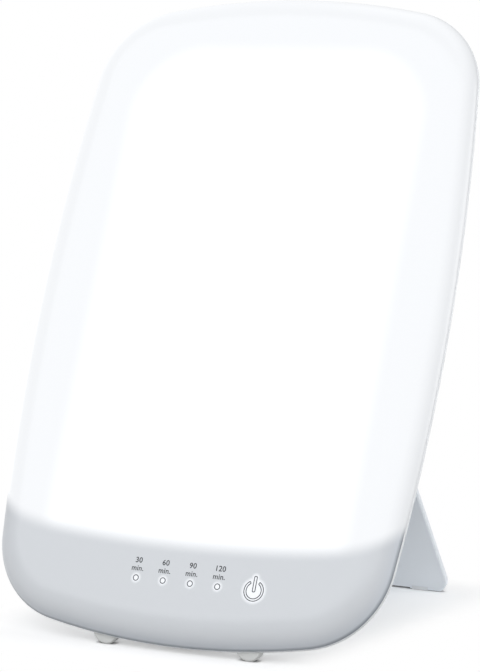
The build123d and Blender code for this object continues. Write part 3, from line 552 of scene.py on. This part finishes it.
def paper_material():
    """Seamless white paper: matt, and white to the eye apart from the lamp's shadow, which is rendered,
    deepened by a painted contact shadow and lifted by painted stray light.
    """
    # it sends less light up to the lamp in front than behind
    material, output = new_material("paper_sweep")
    tree = material.node_tree
    where = add(tree, "TexCoord").outputs["Object"]
    ahead = add(tree, "SeparateXYZ", {0: where}).outputs[1]

    # 1 over the area that keeps its shadows, 0 away from it
    slant = add(tree, "Math", {0: ahead, 1: -SHADOW_SLANT, 2: -SHADOW_MIDDLE}, operation="MULTIPLY_ADD")
    shift = add(tree, "CombineXYZ", {0: slant})
    place = where
    for operation, other in (("ADD", shift), ("ABSOLUTE", (0, 0, 0)), ("SUBTRACT", (SHADOW_X, SHADOW_Y, 0)),
                             ("MAXIMUM", (0, 0, 0))):
        place = add(tree, "VectorMath", {0: place, 1: other}, operation=operation)
    apart = add(tree, "VectorMath", {0: place}, operation="LENGTH").outputs["Value"]
    near = add(tree, "MapRange", {0: apart, 1: 0.0, 2: SHADOW_REACH, 3: 1.0, 4: 0.0},
               interpolation_type="SMOOTHSTEP")

    # what differs from in front to behind: bounce, light from below and the painted stray light in the
    # shadow
    rear = add(tree, "MapRange", {0: ahead, 1: FRONT_Y, 2: BACK_Y})
    bounce = add(tree, "MapRange", {0: rear, 3: PAPER_BOUNCE_FRONT, 4: PAPER_BOUNCE_BACK})
    below = add(tree, "Math", {0: rear, 1: PAPER_LIGHT_BACK}, operation="MULTIPLY")
    stray = add(tree, "MapRange", {0: rear, 3: STRAY_FRONT, 4: STRAY_BACK})

    paths = add(tree, "LightPath").outputs
    seen = add(tree, "Math", {0: paths["Is Camera Ray"], 1: paths["Is Glossy Ray"]}, operation="MAXIMUM")
    seen = add(tree, "Math", {0: seen, 1: paths["Is Transmission Ray"]}, operation="MAXIMUM")
    # painted contact shadow: ambient occlusion darkens the paper's colour, only as the eye sees it
    contact = add(tree, "AmbientOcclusion", {"Distance": CONTACT_REACH}).outputs["AO"]
    contact = add(tree, "Math", {0: contact, 1: near}, operation="MULTIPLY")
    # painted stray light: a part of the paper's brightness is given as glow that no shadow darkens, so that
    # its shadows stay light
    shown = add(tree, "Math", {0: stray, 1: -PAPER, 2: PAPER}, operation="MULTIPLY_ADD")
    shown = add(tree, "Math", {0: shown, 1: contact}, operation="MULTIPLY")
    glow = add(tree, "MapRange", {0: near, 3: 1.0, 4: 0.0})
    glow = add(tree, "Math", {0: contact, 1: stray, 2: glow}, operation="MULTIPLY_ADD")

    colour = add(tree, "Mix", {0: seen, 6: bounce, 7: shown}, data_type="RGBA").outputs[2]
    strength = add(tree, "Mix", {0: seen, 2: below, 3: glow})
    matt = add(tree, "BsdfDiffuse", {"Color": colour})
    light = add(tree, "Emission", {"Strength": strength})
    both = add(tree, "AddShader", {0: matt, 1: light})
    tree.links.new(both.outputs[0], output.inputs["Surface"])
    return material


def paper_floor():
    """The sheet of paper that the lamp stands on."""
    bm = bmesh.new()
    bmesh.ops.create_grid(bm, x_segments=1, y_segments=1, size=PAPER_HALF)
    mesh = mesh_from(bm, "floor", smooth=False)
    mesh.materials.append(paper_material())
    floor = bpy.data.objects.new("floor", mesh)
    bpy.context.scene.collection.objects.link(floor)


paper_floor()

FILL_FRONT = 0.50             # light of the studio from in front of the lamp
FILL_BACK = 0.30              # and from behind
FILL_TURN_START = -0.3        # where one changes into the other, on the way from front to back
FILL_TURN_END = 0.5
WHITE_IN_GLOSS = 0.65         # how white the studio is in reflections


def studio_world():
    """White to the eye. The light that it gives is stronger from in front of the lamp than from behind."""
    world = bpy.data.worlds.new("studio")
    world.use_nodes = True
    tree = world.node_tree
    tree.nodes.clear()
    toward = add(tree, "SeparateXYZ", {0: add(tree, "TexCoord").outputs["Generated"]}).outputs[1]
    fill = add(tree, "MapRange", {
        0: toward, 1: FILL_TURN_START, 2: FILL_TURN_END, 3: FILL_FRONT, 4: FILL_BACK})
    paths = add(tree, "LightPath").outputs
    seen = add(tree, "Math", {0: paths["Is Camera Ray"], 1: paths["Is Transmission Ray"]},
               operation="MAXIMUM")
    fill = add(tree, "MapRange", {0: paths["Is Glossy Ray"], 3: fill, 4: WHITE_IN_GLOSS})
    strength = add(tree, "MapRange", {0: seen, 3: fill, 4: 1.0})
    background = add(tree, "Background", {"Color": (1, 1, 1, 1), "Strength": strength})
    add(tree, "OutputWorld", {"Surface": background})
    bpy.context.scene.world = world


studio_world()


LAMP_MIDDLE = Vector((0, 0, 0.19))


def soft_light(name, place, width, height, watts, colour="#FFFFFF"):
    """A rectangular soft light that looks at the middle of the lamp."""
    data = bpy.data.lights.new(name, "AREA")
    data.shape = "RECTANGLE"
    data.size = width
    data.size_y = height
    data.energy = watts
    data.color = linear(colour)[:3]
    light = bpy.data.objects.new(name, data)
    light.location = place
    light.rotation_euler = (LAMP_MIDDLE - Vector(place)).to_track_quat("-Z", "Y").to_euler()
    bpy.context.scene.collection.objects.link(light)


soft_light("key_softbox", (0.10, -2.60, 2.40), width=7.0, height=3.5, watts=88.0, colour="#FBFDFF")
soft_light("top_softbox", (0.20, 0.90, 2.20), width=2.0, height=2.0, watts=4.5)
soft_light("rim_softbox", (1.70, 0.85, 0.35), width=0.9, height=1.2, watts=12.5)

CAMERA_SENSOR = 36.0          # in millimetres, as the lens
CAMERA_LENS = 136.37
CAMERA_PLACE = Vector((676.54, -1425.784, 404.50)) * MM
CAMERA_TARGET = Vector((14.643, -42.805, 184.967)) * MM
CAMERA_ROLL = -0.111          # in degrees
CAMERA_REACH = 100            # in metres, past the end of the paper


def studio_camera():
    """The camera, turned to its target and rolled a little."""
    data = bpy.data.cameras.new("camera")
    data.sensor_width = CAMERA_SENSOR
    data.lens = CAMERA_LENS
    data.clip_end = CAMERA_REACH
    camera = bpy.data.objects.new("camera", data)
    camera.location = CAMERA_PLACE
    look = (CAMERA_TARGET - CAMERA_PLACE).to_track_quat("-Z", "Y").to_matrix()
    camera.rotation_euler = (look @ Matrix.Rotation(radians(CAMERA_ROLL), 3, "Z")).to_euler()
    bpy.context.scene.collection.objects.link(camera)
    bpy.context.scene.camera = camera


studio_camera()
bpy.context.scene.view_settings.view_transform = "Standard"
